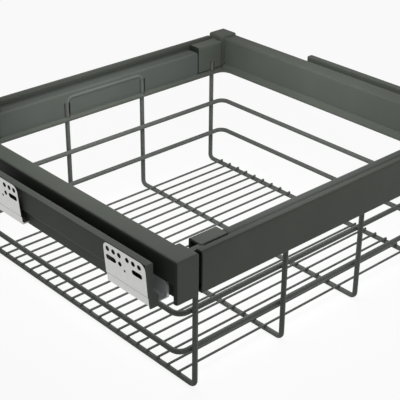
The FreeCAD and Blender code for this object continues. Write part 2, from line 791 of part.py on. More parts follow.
def ball_cages(name, side):
    outer_web = "(runner_place + runner_wall + cage_clearance)"
    outer_row = f"({RUNNER_INSIDE} - {BALL_GAP} / 2)"
    ball_cage(f"outer_ball_cage_{name}", side, outer_web, outer_row, "outer_ball_reach")
    inner_web = f"({MIDDLE_WEB} + member_wall + inner_cage_gap)"
    inner_row = f"({MIDDLE_INSIDE} - {BALL_GAP} / 2)"
    ball_cage(f"inner_ball_cage_{name}", side, inner_web, inner_row, "inner_ball_reach")


# Cover profiles and wall brackets, which stay on the cabinet


def cover(name, side):
    """A channel open to the cabinet wall, whose web slopes inwards to its foot."""
    body = new_body(f"cover_{name}")
    bend = "cover_wall * 0.4"
    corners = [
        (f"{COVER_FACE} + cover_flange", COVER_TOP),
        (f"{COVER_FACE} + cover_flange", f"{COVER_TOP} - cover_wall"),
        (f"{COVER_FACE} + cover_wall", f"{COVER_TOP} - cover_wall"),
        (f"{COVER_FACE} + cover_wall", f"{SLOPE_TOP} - {bend}"),
        (f"{FOOT_FACE} + cover_wall", f"{FOOT_TOP} - {bend}"),
        (f"{FOOT_FACE} + cover_wall", COVER_BOTTOM),
        (FOOT_FACE, COVER_BOTTOM),
        (FOOT_FACE, FOOT_TOP),
        (COVER_FACE, SLOPE_TOP),
        (COVER_FACE, COVER_TOP, "cover_round"),
    ]
    section = [(outward(side, corner[0]), *corner[1:]) for corner in corners]
    pad(body, "y", COVER_FRONT, "cover_length", section)


def cover_end(name, side):
    """The plate that closes the front end of a cover, tapered like the brackets behind it."""
    body = new_body(f"cover_end_{name}")
    corners = [
        (f"{COVER_FACE} + cover_flange", COVER_TOP),
        (f"{COVER_FACE} + cover_flange - bracket_foot_inset", COVER_BOTTOM),
        (FOOT_FACE, COVER_BOTTOM),
        (FOOT_FACE, FOOT_TOP),
        (COVER_FACE, SLOPE_TOP),
        (COVER_FACE, COVER_TOP, "cover_round"),
    ]
    section = [(outward(side, corner[0]), *corner[1:]) for corner in corners]
    pad(body, "y", f"{COVER_FRONT} - cover_end_wall", "cover_end_wall", section)


def wall_bracket(side_name, side, end_name, end):
    """A screw plate that leans in from the cover's flange, stepped near its foot and turned in there."""
    body = new_body(f"wall_bracket_{end_name}_{side_name}")
    front_edge = COVER_FRONT if end < 0 else f"({COVER_FRONT} + cover_length - bracket_length)"
    top = f"({COVER_TOP} - cover_wall)"
    fold = f"({top} - bracket_plate)"
    below_fold = f"({fold} - 2 * bracket_step)"
    stepped = "(bracket_lean + bracket_step)"
    foot = f"({COVER_BOTTOM} + bracket_foot_rise)"
    turned_in = "(cover_flange + foot_depth - cover_wall)"
    corners = [
        ("0", top),
        ("bracket_lean", fold),
        (stepped, below_fold),
        ("bracket_foot_inset", foot),
        (turned_in, foot),
        (turned_in, f"{foot} + bracket_wall"),
        ("bracket_foot_inset + bracket_wall", f"{foot} + bracket_wall"),
        (f"{stepped} + bracket_wall", below_fold),
        ("bracket_lean + bracket_wall", fold),
        ("bracket_wall", top),
    ]
    section = [(f"{side} * ({WALL_FACE} - ({inset}))", up) for inset, up in corners]
    pad(body, "y", front_edge, "bracket_length", section)
    top_height = size(top)
    thickness = size("bracket_wall")

    def at_top_corner(edge):
        return abs(edge.CenterOfMass.z - top_height) < 0.01 and edge.Length < 2 * thickness

    round_edges(body, "bracket_round", at_top_corner)
    bracket_holes(body, side, end, front_edge, top)


def bracket_holes(body, side, end, front_edge, top):
    """Screw holes in two groups, two slots, a fixing hole and a pilot hole; rear brackets are mirrored."""

    def place(text):
        if end < 0:
            return f"{front_edge} + {text}"
        return f"{front_edge} + bracket_length - ({text})"

    through = "(bracket_lean + 2 * bracket_wall)"
    start = low_end(side, f"{side} * ({WALL_FACE} - bracket_lean - bracket_wall)", through)
    for group in range(2):
        for index in range(3):
            along_row = place(f"(screw_row_start + {group} * screw_group + {index} * screw_pitch)")
            cut_round(body, (start, along_row, f"{top} - screw_row_drop"), "screw_hole", through, "x")
        middle = place(f"(slot_start + {group} * slot_spacing)")
        half_run = "(slot_length - slot_width) / 2"
        for way in (-1, 1):
            centre = (start, f"{middle} + {way} * {half_run}", f"{top} - slot_drop")
            cut_round(body, centre, "slot_width", through, "x")
        corner = (start, f"{middle} - {half_run}", f"{top} - slot_drop - slot_width / 2")
        cut_box(body, corner, (through, "slot_length - slot_width", "slot_width"))
    cut_round(body, (start, place("fixing_start"), f"{top} - slot_drop"), "fixing_hole", through, "x")
    cut_round(body, (start, place("pilot_start"), f"{top} - pilot_drop"), "pilot_hole", through, "x")


def build():
    for end_name, end in ENDS:
        cross_rail(end_name, end)
        rail_liner(end_name, end)
    for side_name, side in SIDES:
        side_rail(side_name, side)
        outer_wire(side_name, side)
        runner(side_name, side)
        runner_carrier(side_name, side)
        middle_member(side_name, side)
        fixed_member(side_name, side)
        ball_cages(side_name, side)
        cover(side_name, side)
        cover_end(side_name, side)
        for end_name, end in ENDS:
            corner_connector(side_name, side, end_name, end)
            end_cap(side_name, side, end_name, end)
            wall_bracket(side_name, side, end_name, end)
    hanger_loop()
    ring("upper_ring", "upper_ring_drop")
    ring("lower_ring", "lower_ring_drop")
    for index in range(FLOOR_WIRES):
        floor_wire(index)
    doc.recompute()


def sub_parts():
    """The finished objects: those of these kinds that no boolean takes in."""
    kinds = ("PartDesign::Body", "Part::MultiFuse", "Part::Cut", "Part::Feature", "Part::Cylinder")
    used = {piece for cage in doc.findObjects("Part::MultiFuse") for piece in cage.Shapes}
    for boolean in doc.findObjects("Part::Common") + doc.findObjects("Part::Cut"):
        used |= {boolean.Base, boolean.Tool}
    return [obj for obj in doc.Objects if obj.TypeId in kinds and obj not in used]


def check(parts):
    for obj in doc.Objects:
        faults = {"Invalid", "Error"} & set(obj.State)
        if faults:
            raise RuntimeError(f"{obj.Label}: {sorted(faults)}")
    for part in parts:
        if part.Shape.isNull() or not part.Shape.isValid() or len(part.Shape.Solids) != 1:
            raise RuntimeError(f"{part.Label}: not one valid solid")


def export(parts):
    os.makedirs("parts", exist_ok=True)
    for part in parts:
        part.Shape.exportStep(os.path.join("parts", f"{part.Label}.step"))
    print(f"{len(parts)} sub-parts written")


build()
finished = sub_parts()
check(finished)
export(finished)
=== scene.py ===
import math
from collections import namedtuple

import bmesh
import bpy
import numpy as np
from bpy.props import FloatProperty, FloatVectorProperty, PointerProperty
from mathutils import Matrix, Vector


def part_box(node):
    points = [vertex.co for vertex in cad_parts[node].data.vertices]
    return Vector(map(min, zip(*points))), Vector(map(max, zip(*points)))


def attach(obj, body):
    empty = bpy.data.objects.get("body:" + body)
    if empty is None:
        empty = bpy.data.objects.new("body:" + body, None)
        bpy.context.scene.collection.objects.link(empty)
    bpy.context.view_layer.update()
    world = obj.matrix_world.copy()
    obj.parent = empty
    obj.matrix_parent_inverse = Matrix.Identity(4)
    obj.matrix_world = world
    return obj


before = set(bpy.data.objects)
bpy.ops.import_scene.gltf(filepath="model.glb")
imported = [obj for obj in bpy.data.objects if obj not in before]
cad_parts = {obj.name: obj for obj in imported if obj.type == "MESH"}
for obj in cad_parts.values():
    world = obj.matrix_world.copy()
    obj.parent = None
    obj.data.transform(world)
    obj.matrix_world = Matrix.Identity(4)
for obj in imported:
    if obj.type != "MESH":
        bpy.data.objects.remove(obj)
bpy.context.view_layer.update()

# Pull-out wardrobe basket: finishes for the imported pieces, the welds and trim that ride on them,
# and the stage. All places are in metres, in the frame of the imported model.

bl_info = {
    "name": "Pull-out wire basket",
    "version": (1, 0, 0),
    "blender": (4, 5, 0),
    "location": "View3D > Sidebar > Basket",
    "description": "Finishes a packed pull-out wire basket and sets it on a pale stage",
    "category": "Object",
}

MM = 0.001

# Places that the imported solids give
RAIL_LOW, RAIL_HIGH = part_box("back_rail")
LINER_LOW, LINER_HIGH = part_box("back_rail_liner")
SIDE_LOW, SIDE_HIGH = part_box("side_rail_right")
BRACKET_LOW, BRACKET_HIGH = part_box("wall_bracket_front_left")
LOOP_LOW, LOOP_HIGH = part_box("hanger_loop")
LEFT_WIRE_LOW, LEFT_WIRE_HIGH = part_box("outer_wire_left")
RIGHT_WIRE_LOW, RIGHT_WIRE_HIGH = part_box("outer_wire_right")
CONNECTOR_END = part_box("corner_connector_back_right")[0][0]

# The thick wires: their size, the middles of their legs across, and the back of the legs
WIRE_SIZE = LEFT_WIRE_HIGH[0] - LEFT_WIRE_LOW[0]
HALF_WIRE = WIRE_SIZE / 2
LOOP_LEG = LOOP_HIGH[0] - HALF_WIRE
OUTER_LEG = RIGHT_WIRE_HIGH[0] - HALF_WIRE
LEG_BACK = LOOP_HIGH[1]

# Heights: the lip and top of the rails' hem, the top of the skirts, and the foot and fold of a bracket
HEM_LIP = RAIL_LOW[2] + 3.5 * MM
HEM_TOP = RAIL_LOW[2] + 9 * MM
SKIRT_TOP = HEM_TOP + 0.4 * MM
FLANGE_TOP = BRACKET_LOW[2] + 3 * MM
FOLD_HEIGHT = BRACKET_HIGH[2] - 39 * MM

# Painted shade: the corners of a box, and the share of the colour drawn in it to stand for shade.
# Corners are distances from the middle planes and the floor; 0 and OPEN leave the box open that way.
ShadeBox = namedtuple("ShadeBox", "low high share")
OPEN = 1.0
BEAD_EDGE = LINER_HIGH[1] + 3 * MM
# Painted shade on the outer flank of the side rails and caps, which lies in shadow beside the slide
FLANK_SHADE = ShadeBox((SIDE_HIGH[0] - 1 * MM, 0, 0), (SIDE_HIGH[0] + 1 * MM, OPEN, OPEN), share=0.4)
# Painted shade at the back of the rails' bead, where the gap to the liner lies
BEAD_BACK_SHADE = ShadeBox(
    (0, LINER_HIGH[1] - 0.5 * MM, RAIL_HIGH[2] - 10 * MM), (OPEN, BEAD_EDGE, OPEN), share=0.6)
# Painted shade on the top of the rails' bead, drawn darker than the light falling on it
BEAD_TOP_SHADE = ShadeBox((0, BEAD_EDGE, RAIL_HIGH[2] - 1.2 * MM), (OPEN, OPEN, OPEN), share=0.75)
# Painted shade on the liners' top edge, drawn darker than the light falling on it
LINER_TOP_SHADE = ShadeBox((0, 0, LINER_HIGH[2] - 2 * MM), (OPEN, OPEN, OPEN), share=0.72)
# Painted shade on the liners' top just behind the bead, where the gap between them lies
BEHIND_BEAD_SHADE = ShadeBox(
    (0, LINER_HIGH[1] - 10 * MM, 0), (OPEN, LINER_HIGH[1] + 1 * MM, OPEN), share=0.45)
# Painted shade on the open end faces of the connectors
BLOCK_END_SHADE = ShadeBox(
    (CONNECTOR_END - 0.3 * MM, 0, 0), (CONNECTOR_END + 0.3 * MM, OPEN, OPEN), share=0.3)
# Painted shade on the back of the pockets beside the outer wire legs
LEG_POCKET_SHADE = ShadeBox(
    (OUTER_LEG - 8 * MM, LEG_BACK - 0.3 * MM, 0),
    (OUTER_LEG + 5 * MM, LEG_BACK + 0.7 * MM, RAIL_LOW[2] + 21 * MM), share=0.12)
# Painted shade in a line along the brackets' fold
FOLD_SHADE = ShadeBox((0, 0, FOLD_HEIGHT - 0.8 * MM), (OPEN, OPEN, FOLD_HEIGHT + 0.1 * MM), share=0.3)

# Radii of the weld beads across, in depth and in height, as shares of the weld's size
FLOOR_BEAD = np.array((1.25, 1.1, 0.8))
UPRIGHT_BEAD = np.array((1.4, 0.75, 1.4))
WELD_RISE = 0.4 * MM

# How far a hem corner laps over its neighbours, reaches into the gap at the rail's end and dips at its
# inner edge, and how far a skirt stays above the hem
HEM_LAP = 0.3 * MM
GAP_REACH = 6.5 * MM
INNER_DIP = 0.2 * MM
SKIRT_GAP = 0.1 * MM

# Numbers of the Mix node's sockets for colours, because other sockets of it have the same names
FACTOR = 0
FROM = 6
TO = 7
MIXED = 2

WHITE = (1, 1, 1, 1)


def linear(code):
    """A linear colour from an sRGB hex code, by the sRGB curve."""
    parts = [int(code[i:i + 2], 16) / 255 for i in (1, 3, 5)]
    return tuple(p / 12.92 if p <= 0.04045 else ((p + 0.055) / 1.055) ** 2.4 for p in parts)


def shade(colour, share=1.0):
    """A colour times a share, with full alpha, as a colour socket takes it."""
    return (*(min(1.0, part * share) for part in colour[:3]), 1.0)


def per_metre(millimetres):
    """The texture scale whose pattern repeats about once in this length."""
    return 1 / (millimetres * MM)


def add(tree, kind, inputs=None, **settings):
    """One node with its settings; each input gets a value, or a link from a socket."""
    node = tree.nodes.new(kind)
    for name, value in settings.items():
        setattr(node, name, value)
    for name, value in (inputs or {}).items():
        if isinstance(value, bpy.types.NodeSocket):
            tree.links.new(value, node.inputs[name])
        else:
            node.inputs[name].default_value = value
    return node


def new_material(name):
    """An empty material, its tree and the object's own coordinates."""
    material = bpy.data.materials.new(name)
    material.use_nodes = True
    tree = material.node_tree
    tree.nodes.clear()
    place = add(tree, "ShaderNodeTexCoord").outputs["Object"]
    return material, tree, place


def within(tree, place, low, high):
    """1 inside a box, else 0; its corners are distances from the planes X = 0, Y = 0 and Z = 0."""
    distance = add(tree, "ShaderNodeVectorMath", {0: place}, operation="ABSOLUTE").outputs[0]
    parts = add(tree, "ShaderNodeSeparateXYZ", {"Vector": distance}).outputs
    inside = 1.0
    for part, start, end in zip(parts, low, high):
        middle = (start + end) / 2
        reach = (end - start) / 2
        near = add(tree, "ShaderNodeMath", {0: part, 1: middle, 2: reach}, operation="COMPARE")
        both = add(tree, "ShaderNodeMath", {0: near.outputs[0], 1: inside}, operation="MULTIPLY")
        inside = both.outputs[0]
    return inside


def paint_shade(tree, place, tone, colour, shade_boxes):
    """Painted shade: a tone with a share of the plain colour in its place inside each box."""
    for shade_box in shade_boxes:
        inside = within(tree, place, shade_box.low, shade_box.high)
        shaded = {FACTOR: inside, FROM: tone, TO: shade(colour, shade_box.share)}
        tone = add(tree, "ShaderNodeMix", shaded, data_type="RGBA").outputs[MIXED]
    return tone


def powder_coat(name, colour, roughness, shade_boxes=()):
    """Polyester powder coat on steel, baked on: matt, with orange peel and a slightly uneven tone.

    Painted shade is drawn in a darker tone inside the given boxes.
    """
    material, tree, place = new_material(name)
    # The peel of such a coat is about 0.5 mm; it is drawn at 1.2 mm, because less would not show
    peel_size = 1.2
    cloud_size = 60
    peel = add(tree, "ShaderNodeTexNoise", {
        "Vector": place, "Scale": per_metre(peel_size), "Detail": 2.0})
    cloud = add(tree, "ShaderNodeTexNoise", {
        "Vector": place, "Scale": per_metre(cloud_size), "Detail": 3.0})
    uneven = {FACTOR: cloud.outputs["Fac"], FROM: shade(colour, 0.88), TO: shade(colour, 1.12)}
    tone = add(tree, "ShaderNodeMix", uneven, data_type="RGBA").outputs[MIXED]
    tone = paint_shade(tree, place, tone, colour, shade_boxes)
    gloss = add(tree, "ShaderNodeMapRange", {
        "Value": peel.outputs["Fac"], "To Min": roughness - 0.06, "To Max": roughness + 0.06})
    bump = add(tree, "ShaderNodeBump", {
        "Height": peel.outputs["Fac"], "Strength": 0.25, "Distance": 0.15 * MM})
    shader = add(tree, "ShaderNodeBsdfPrincipled", {
        "Base Color": tone, "Roughness": gloss.outputs["Result"], "Normal": bump.outputs["Normal"],
        "IOR": 1.5, "Specular IOR Level": 0.06})
    add(tree, "ShaderNodeOutputMaterial", {"Surface": shader.outputs[0]})
    return material


def moulded_plastic(name, colour, roughness, shade_boxes=()):
    """Glass-filled nylon, moulded in a spark-eroded tool: even tone, fine dull grain.

    Painted shade is drawn in a darker tone inside the given boxes.
    """
    material, tree, place = new_material(name)
    # The tool's grain is about 0.3 mm; it is drawn at 0.9 mm, because less would not show
    grain_size = 0.9
    grain = add(tree, "ShaderNodeTexNoise", {
        "Vector": place, "Scale": per_metre(grain_size), "Detail": 3.0})
    dull = {FACTOR: grain.outputs["Fac"], FROM: shade(colour, 0.94), TO: shade(colour, 1.06)}
    tone = add(tree, "ShaderNodeMix", dull, data_type="RGBA").outputs[MIXED]
    tone = paint_shade(tree, place, tone, colour, shade_boxes)
    bump = add(tree, "ShaderNodeBump", {
        "Height": grain.outputs["Fac"], "Strength": 0.3, "Distance": 0.12 * MM})
    shader = add(tree, "ShaderNodeBsdfPrincipled", {
        "Base Color": tone, "Roughness": roughness, "Normal": bump.outputs["Normal"],
        "IOR": 1.53, "Specular IOR Level": 0.06})
    add(tree, "ShaderNodeOutputMaterial", {"Surface": shader.outputs[0]})
    return material


def galvanised_sheet(name, colour, cut_edge_and_shade_colour):
    """Hot-dip galvanised sheet, punched and folded: pale grey with faint zinc spangle of uneven gloss.

    A line along the fold is drawn darker as painted shade; the punched edges are drawn darker as bare cut
    steel and as painted shade inside the holes.
    """
    material, tree, place = new_material(name)
    spangle_size = 5
    spangle = add(tree, "ShaderNodeTexVoronoi", {
        "Vector": place, "Scale": per_metre(spangle_size), "Randomness": 1.0})
    grey = add(tree, "ShaderNodeRGBToBW", {"Color": spangle.outputs["Color"]}).outputs["Val"]
    faint = {FACTOR: grey, FROM: shade(colour, 0.93), TO: shade(colour, 1.04)}
    tone = add(tree, "ShaderNodeMix", faint, data_type="RGBA").outputs[MIXED]
    tone = paint_shade(tree, place, tone, colour, [FOLD_SHADE])
    # An edge faces along the sheet, so less than this share of its normal points across
    across_share = 0.4
    facing = add(tree, "ShaderNodeTexCoord").outputs["Normal"]
    across = add(tree, "ShaderNodeSeparateXYZ", {"Vector": facing}).outputs["X"]
    plate = add(tree, "ShaderNodeMath", {0: across}, operation="ABSOLUTE").outputs[0]
    edge = add(tree, "ShaderNodeMath", {0: plate, 1: across_share}, operation="LESS_THAN").outputs[0]
    # The flange at the foot faces down and up, and is no edge
    height = add(tree, "ShaderNodeSeparateXYZ", {"Vector": place}).outputs["Z"]
    above = add(tree, "ShaderNodeMath", {0: height, 1: FLANGE_TOP}, operation="GREATER_THAN").outputs[0]
    # Painted shade on the punched edges, over their bare cut steel, so that the holes look dark inside
    cut_edge_and_shade = add(tree, "ShaderNodeMath", {0: edge, 1: above}, operation="MULTIPLY").outputs[0]
    with_cut_edge_and_shade = {FACTOR: cut_edge_and_shade, FROM: tone, TO: shade(cut_edge_and_shade_colour)}
    tone = add(tree, "ShaderNodeMix", with_cut_edge_and_shade, data_type="RGBA").outputs[MIXED]
    gloss = add(tree, "ShaderNodeMapRange", {"Value": grey, "To Min": 0.42, "To Max": 0.55})
    shader = add(tree, "ShaderNodeBsdfPrincipled", {
        "Base Color": tone, "Metallic": 0.75, "Roughness": gloss.outputs["Result"]})
    add(tree, "ShaderNodeOutputMaterial", {"Surface": shader.outputs[0]})
    return material


def zinc_plate(name, colour, roughness):
    """Bright zinc plate on cold-rolled slide steel: rolling lines run along the member."""
    material, tree, place = new_material(name)
    # Rolling lines are 0.2 mm apart and very long; they are drawn 0.8 mm apart to show
    line_gap = 0.8
    line_length = 90
    lines = add(tree, "ShaderNodeMapping", {
        "Vector": place, "Scale": (per_metre(line_gap), per_metre(line_length), per_metre(line_gap))})
    rolled = add(tree, "ShaderNodeTexNoise", {
        "Vector": lines.outputs["Vector"], "Scale": 1.0, "Detail": 2.0}).outputs["Fac"]
    streaked = {FACTOR: rolled, FROM: shade(colour, 0.86), TO: shade(colour, 1.1)}
    tone = add(tree, "ShaderNodeMix", streaked, data_type="RGBA").outputs[MIXED]
    gloss = add(tree, "ShaderNodeMapRange", {
        "Value": rolled, "To Min": roughness - 0.08, "To Max": roughness + 0.08})
    shader = add(tree, "ShaderNodeBsdfPrincipled", {
        "Base Color": tone, "Metallic": 0.25, "Roughness": gloss.outputs["Result"]})
    add(tree, "ShaderNodeOutputMaterial", {"Surface": shader.outputs[0]})
    return material


def seen_or_mirrored(tree):
    """1 for rays that the camera sees, straight, in a reflection or through glass, and 0 for light."""
    rays = add(tree, "ShaderNodeLightPath").outputs
    seen = rays["Is Camera Ray"]
    for kind in ("Is Glossy Ray", "Is Transmission Ray"):
        seen = add(tree, "ShaderNodeMath", {0: seen, 1: rays[kind]}, operation="MAXIMUM").outputs[0]
    return seen


def dress(prefixes, material):
    """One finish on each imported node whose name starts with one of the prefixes."""
    for name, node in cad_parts.items():
        if name.startswith(prefixes):
            node.data.materials.clear()
            node.data.materials.append(material)


def carried(name, rings, material, smooth=False):
    """A piece made of closed rings of points, an array of (copies, stations, points, 3).

    Quads join each ring to the next along its copy, and one face closes each end.
    """
    copies, stations, count, _ = rings.shape
    index = np.arange(copies * stations * count).reshape(copies, stations, count)
    ahead = np.roll(index, -1, axis=2)
    corners = [index[:, :-1], ahead[:, :-1], ahead[:, 1:], index[:, 1:]]
    sides = np.stack(corners, axis=-1).reshape(-1, 4)
    ends = np.concatenate([index[:, 0], index[:, -1]])
    mesh = bpy.data.meshes.new(name)
    mesh.from_pydata(rings.reshape(-1, 3).tolist(), [], sides.tolist() + ends.tolist())
    shell = bmesh.new()
    shell.from_mesh(mesh)
    bmesh.ops.recalc_face_normals(shell, faces=shell.faces)
    shell.to_mesh(mesh)
    shell.free()
    mesh.materials.append(material)
    if smooth:
        mesh.shade_smooth()
    piece = bpy.data.objects.new(name, mesh)
    bpy.context.scene.collection.objects.link(piece)
    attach(piece, "basket")


def crossings(across, depth, height):
    """Every point that some places across, depths and heights share, as rows of three."""
    return np.stack(np.meshgrid(across, depth, height, indexing="ij"), axis=-1).reshape(-1, 3)


def beads(centres, radii):
    """Rings of ellipsoids: centre + radii times (sin v cos u, sin v sin u, cos v).

    The angle u goes round, and v goes down from pole to pole; both poles are cut flat.
    """
    sides = 8
    levels = 5
    pole_cut = 0.35
    u = np.linspace(0, 2 * np.pi, sides, endpoint=False)
    v = np.linspace(pole_cut, np.pi - pole_cut, levels)[:, None]
    ball = np.stack([np.sin(v) * np.cos(u), np.sin(v) * np.sin(u), np.cos(v) + 0 * u], axis=-1)
    return centres[:, None, None, :] + ball * radii


def hem_height(depth):
    """Height of the rails' sloped hem: a straight line from its lip to its top behind the wire legs."""
    edge = RAIL_LOW[1]
    return HEM_LIP + (HEM_TOP - HEM_LIP) * (depth - edge) / (LEG_BACK - edge)


def skirts(stretches, face, wall):
    """Rings of strips that carry a face down to the hem: a four-cornered profile along each stretch.

    The profile is the wall's thickness wide, level above and sloped below like the hem. The front
    has the same strips as the back, mirrored.
    """
    depth = np.array([face, face + wall, face + wall, face])
    height = np.where([True, True, False, False], SKIRT_TOP, hem_height(depth) + SKIRT_GAP)
    across = np.asarray(stretches)
    rings = np.empty((2 * len(across), 2, 4, 3))
    rings[..., 0] = np.concatenate([across, across])[:, :, None]
    rings[..., 1] = np.repeat([1.0, -1.0], len(across))[:, None, None] * depth
    rings[..., 2] = height
    return rings


def hem_corners(radius):
    """Rings of the four rounded inner corners of the hem: a quarter circle, and the same one moved out.

    Each station of the arc has a four-cornered ring from its inner edge out to the edges of the two hems.
    """
    edges = np.array([SIDE_LOW[0], RAIL_LOW[1]])
    stations = 9
    angle = np.linspace(0, np.pi / 2, stations)
    way = np.stack([np.cos(angle), np.sin(angle)], axis=-1)
    inner = edges - radius + radius * way
    # Past the rail's end the corner goes on, to close the gap between the rail and the side rail
    outer = np.minimum(inner + radius * way, edges + [HEM_LAP, GAP_REACH])
    beside_rail = outer[:, 0] < RAIL_HIGH[0]
    outer[beside_rail, 1] = np.minimum(outer[beside_rail, 1], edges[1] + HEM_LAP)
    level = np.stack([inner, outer, outer, inner], axis=1)
    signs = np.array([(1, 1), (-1, 1), (-1, -1), (1, -1)])
    rings = np.empty((len(signs), stations, 4, 3))
    rings[..., :2] = signs[:, None, None, :] * level
    rings[..., 2] = [RAIL_LOW[2], RAIL_LOW[2], HEM_LIP, HEM_LIP - INNER_DIP]
    return rings


class BasketColours(bpy.types.PropertyGroup):
    """Colours of the finishes, as they look in plain light."""

    rail: FloatVectorProperty(
        name="Rails", description="Powder coat of the rails and covers", subtype="COLOR",
        min=0, max=1, default=linear("#51554F"))
    liner: FloatVectorProperty(
        name="Liners", description="Powder coat of the strips inside the front and back rails",
        subtype="COLOR", min=0, max=1, default=linear("#525652"))
    wire: FloatVectorProperty(
        name="Wires", description="Powder coat of the basket wires", subtype="COLOR",
        min=0, max=1, default=linear("#5A5D5A"))
    corner: FloatVectorProperty(
        name="Corners", description="Plastic of the caps and connectors", subtype="COLOR",
        min=0, max=1, default=linear("#50544E"))
    carrier: FloatVectorProperty(
        name="Carriers", description="Plastic of the channels that hold the runners", subtype="COLOR",
        min=0, max=1, default=linear("#2A2C27"))
    bracket: FloatVectorProperty(
        name="Brackets", description="Galvanised sheet of the wall brackets", subtype="COLOR",
        min=0, max=1, default=linear("#DEDEDC"))
    # The edges' dark tone is partly bare cut steel and partly painted shade inside the holes
    edge: FloatVectorProperty(
        name="Edges", description="Dark tone of the brackets' punched edges", subtype="COLOR",
        min=0, max=1, default=linear("#242422"))
    slide: FloatVectorProperty(
        name="Slides", description="Zinc plate of the slide members", subtype="COLOR",
        min=0, max=1, default=linear("#D8D8DA"))


class BasketTrim(bpy.types.PropertyGroup):
    """Sizes of the welds, skirts and hem corners."""

    weld: FloatProperty(
        name="Weld", description="Size of a weld bead, which its radii are shares of", unit="LENGTH",
        default=1.9 * MM)
    skirt_wall: FloatProperty(
        name="Skirt wall", description="Thickness of the skirt under a liner", unit="LENGTH",
        default=1.5 * MM)
    leg_room: FloatProperty(
        name="Leg room", description="Free width on each side of the middle of a wire leg", unit="LENGTH",
        default=5 * MM)
    hem_radius: FloatProperty(
        name="Hem radius", description="Radius of the hem's inner corners", unit="LENGTH",
        default=12 * MM)


class BasketStage(bpy.types.PropertyGroup):
    """Where the camera stands, and the floor."""

    azimuth: FloatProperty(
        name="Azimuth", description="Camera's turn round the basket, from straight in front",
        subtype="ANGLE", default=math.radians(-42.509))
    elevation: FloatProperty(
        name="Elevation", description="Camera's height above the level, as an angle",
        subtype="ANGLE", default=math.radians(27.977))
    roll: FloatProperty(
        name="Roll", description="Camera's tilt to its side", subtype="ANGLE", default=math.radians(0.521))
    camera: FloatVectorProperty(
        name="Camera", description="Camera's place", subtype="TRANSLATION", unit="LENGTH",
        default=(-0.8515, -0.9201, 0.7478))
    lens: FloatProperty(
        name="Lens", description="Focal length for a 36 mm sensor", subtype="DISTANCE_CAMERA", default=96.34)
    floor: FloatVectorProperty(
        name="Floor", description="Colour of the floor", subtype="COLOR", min=0, max=1,
        default=linear("#FAFAFA"))


class BASKET_OT_coat_rails(bpy.types.Operator):
    """Powder coat on the rails, liners and covers"""

    bl_idname = "basket.coat_rails"
    bl_label = "Coat the rails"

    def execute(self, context):
        colours = context.scene.basket_colours
        # The rails' coat carries painted shade on the flank and the bead, the liners' coat on their top and
        # behind the bead
        rail = powder_coat(
            "matt_powder_coat_rail", tuple(colours.rail), roughness=0.55,
            shade_boxes=[FLANK_SHADE, BEAD_TOP_SHADE, BEAD_BACK_SHADE])
        liner = powder_coat(
            "matt_powder_coat_liner", tuple(colours.liner), roughness=0.55,
            shade_boxes=[LINER_TOP_SHADE, BEHIND_BEAD_SHADE])
        dress(("side_rail", "front_rail", "back_rail", "cover_left", "cover_right"), rail)
        dress(("front_rail_liner", "back_rail_liner"), liner)
        return {"FINISHED"}


class BASKET_OT_coat_wires(bpy.types.Operator):
    """Powder coat on the thick and thin wires"""

    bl_idname = "basket.coat_wires"
    bl_label = "Coat the wires"

    def execute(self, context):
        colour = tuple(context.scene.basket_colours.wire)
        coat = powder_coat("satin_powder_coat_wire", colour, roughness=0.45)
        wires = ("outer_wire", "hanger_loop", "upper_ring", "lower_ring", "floor_wire")
        dress(wires, coat)
        return {"FINISHED"}


class BASKET_OT_weld_wires(bpy.types.Operator):
    """Weld beads where the wires of the basket cross"""

    bl_idname = "basket.weld_wires"
    bl_label = "Weld the wires"

    def execute(self, context):
        across = np.array([
            LEFT_WIRE_LOW[0] + HALF_WIRE, LOOP_LOW[0] + HALF_WIRE, LOOP_LEG, OUTER_LEG])
        thin = [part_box(name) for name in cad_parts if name.startswith("floor_wire")]
        depth = np.array([(low[1] + high[1]) / 2 for low, high in thin])
        floor = crossings(across, depth, [WIRE_SIZE + WELD_RISE])
        rings = [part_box(name) for name in ("upper_ring", "lower_ring")]
        height = np.array([(low[2] + high[2]) / 2 for low, high in rings])
        touch = np.array([rings[0][0][1], rings[0][1][1]])
        upright = crossings(across, touch, height)
        size = context.scene.basket_trim.weld
        shapes = np.concatenate([beads(floor, size * FLOOR_BEAD), beads(upright, size * UPRIGHT_BEAD)])
        coat = bpy.data.materials["satin_powder_coat_wire"]
        carried("weld_beads", shapes, coat, smooth=True)
        return {"FINISHED"}


class BASKET_OT_close_hems(bpy.types.Operator):
    """Skirts under the liners, and rounded inner corners of the hem"""

    bl_idname = "basket.close_hems"
    bl_label = "Close the hems"

    def execute(self, context):
        trim = context.scene.basket_trim
        room = trim.leg_room
        end = LINER_HIGH[0]
        stretches = [(-end, -LOOP_LEG - room), (-LOOP_LEG + room, LOOP_LEG - room), (LOOP_LEG + room, end)]
        carried("liner_skirts", skirts(stretches, LINER_LOW[1], trim.skirt_wall),
                bpy.data.materials["matt_powder_coat_liner"])
        carried("hem_corners", hem_corners(trim.hem_radius),
                bpy.data.materials["matt_powder_coat_rail"])
        return {"FINISHED"}


class BASKET_OT_mould_corners(bpy.types.Operator):
    """Moulded plastic on the caps, connectors, cover ends and runner carriers"""

    bl_idname = "basket.mould_corners"
    bl_label = "Mould the corners"

    def execute(self, context):
        colours = context.scene.basket_colours
        # The corners' plastic carries painted shade on the flank, the connectors' open ends and the leg
        # pockets
        corner = moulded_plastic(
            "moulded_nylon_corner", tuple(colours.corner), roughness=0.55,
            shade_boxes=[FLANK_SHADE, BLOCK_END_SHADE, LEG_POCKET_SHADE])
        carrier = moulded_plastic("moulded_nylon_carrier", tuple(colours.carrier), roughness=0.5)
        dress(("end_cap", "corner_connector", "cover_end"), corner)
        dress(("runner_carrier",), carrier)
        return {"FINISHED"}


